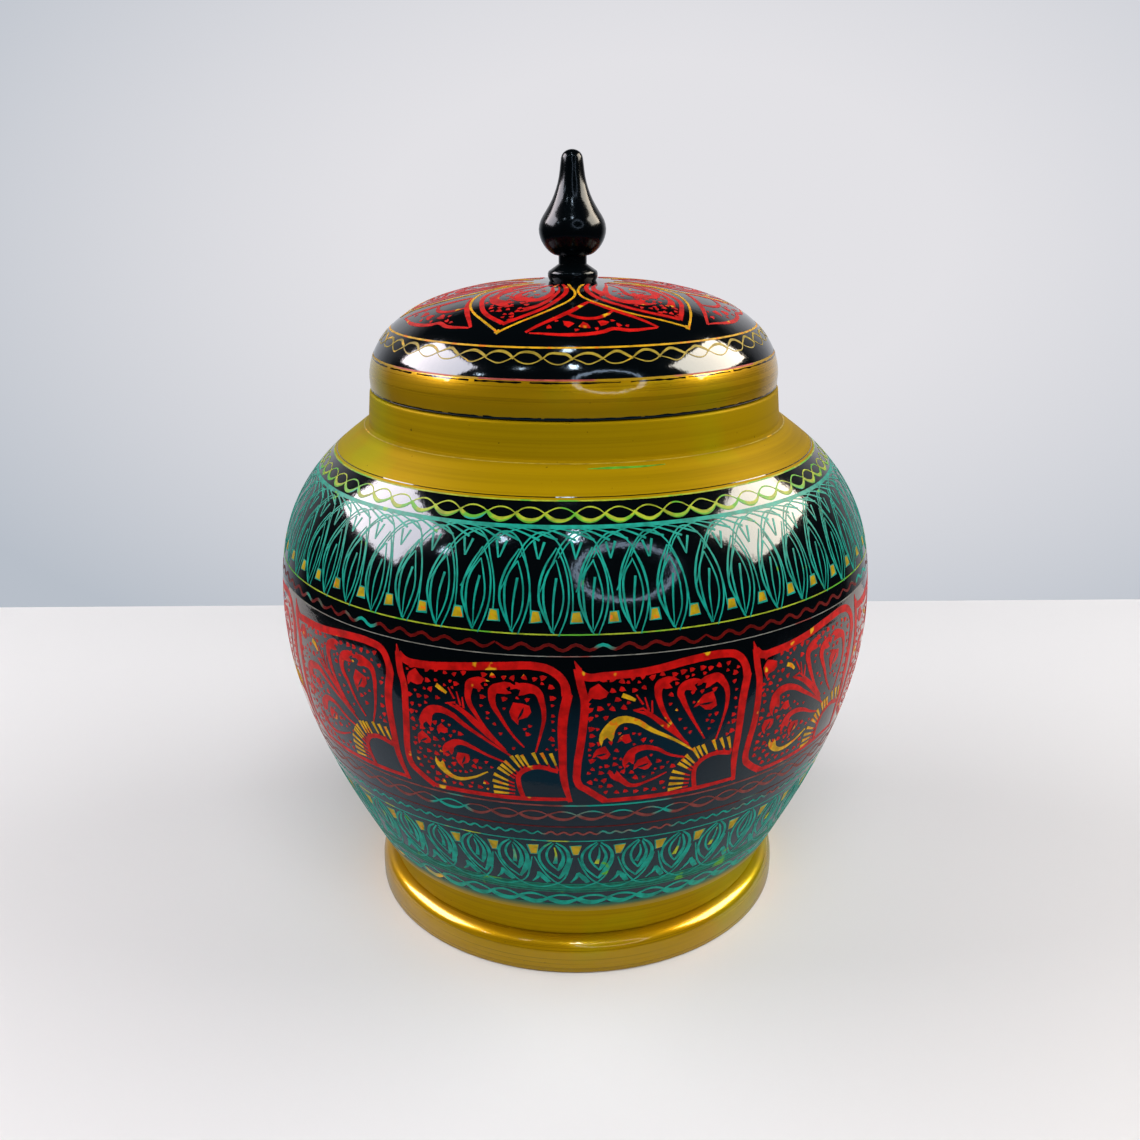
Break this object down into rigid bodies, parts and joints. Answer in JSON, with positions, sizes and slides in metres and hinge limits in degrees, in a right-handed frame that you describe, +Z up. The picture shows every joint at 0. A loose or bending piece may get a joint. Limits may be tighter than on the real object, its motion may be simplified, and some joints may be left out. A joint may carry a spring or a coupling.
{
  "type": "lidded jar",
  "caption": "Turned and lacquered wooden jar with a round belly, a plinth foot, a gold neck ring and a domed lid with a pointed knob that lifts off.",
  "frame": {"origin": "centre of the foot's flat bottom face, on the surface that the jar stands on", "axes": "+Z up along the turning axis, towards the knob; -Y towards the front of the picture"},
  "size_m": [0.1604, 0.1604, 0.2024],
  "materials": {
    "black_lacquer": "gloss",
    "gold_lacquer": "semi-gloss",
    "red_lacquer": "gloss",
    "green_lacquer": "gloss",
    "yellow_lacquer": "gloss",
    "bare_wood": "matte"
  },
  "bodies": {
    "jar": {"foot_ring": "gold_lacquer", "lower_body": "black_lacquer", "upper_body": "black_lacquer", "neck_collar": "gold_lacquer"},
    "lid": {"lid_cap": "black_lacquer", "knob": "black_lacquer"}
  },
  "joints": [
    {"name": "lid_lift", "type": "slide", "parent": "jar", "child": "lid", "axis": [0, 0, 1], "range_m": [0, 0.1]}
  ]
}
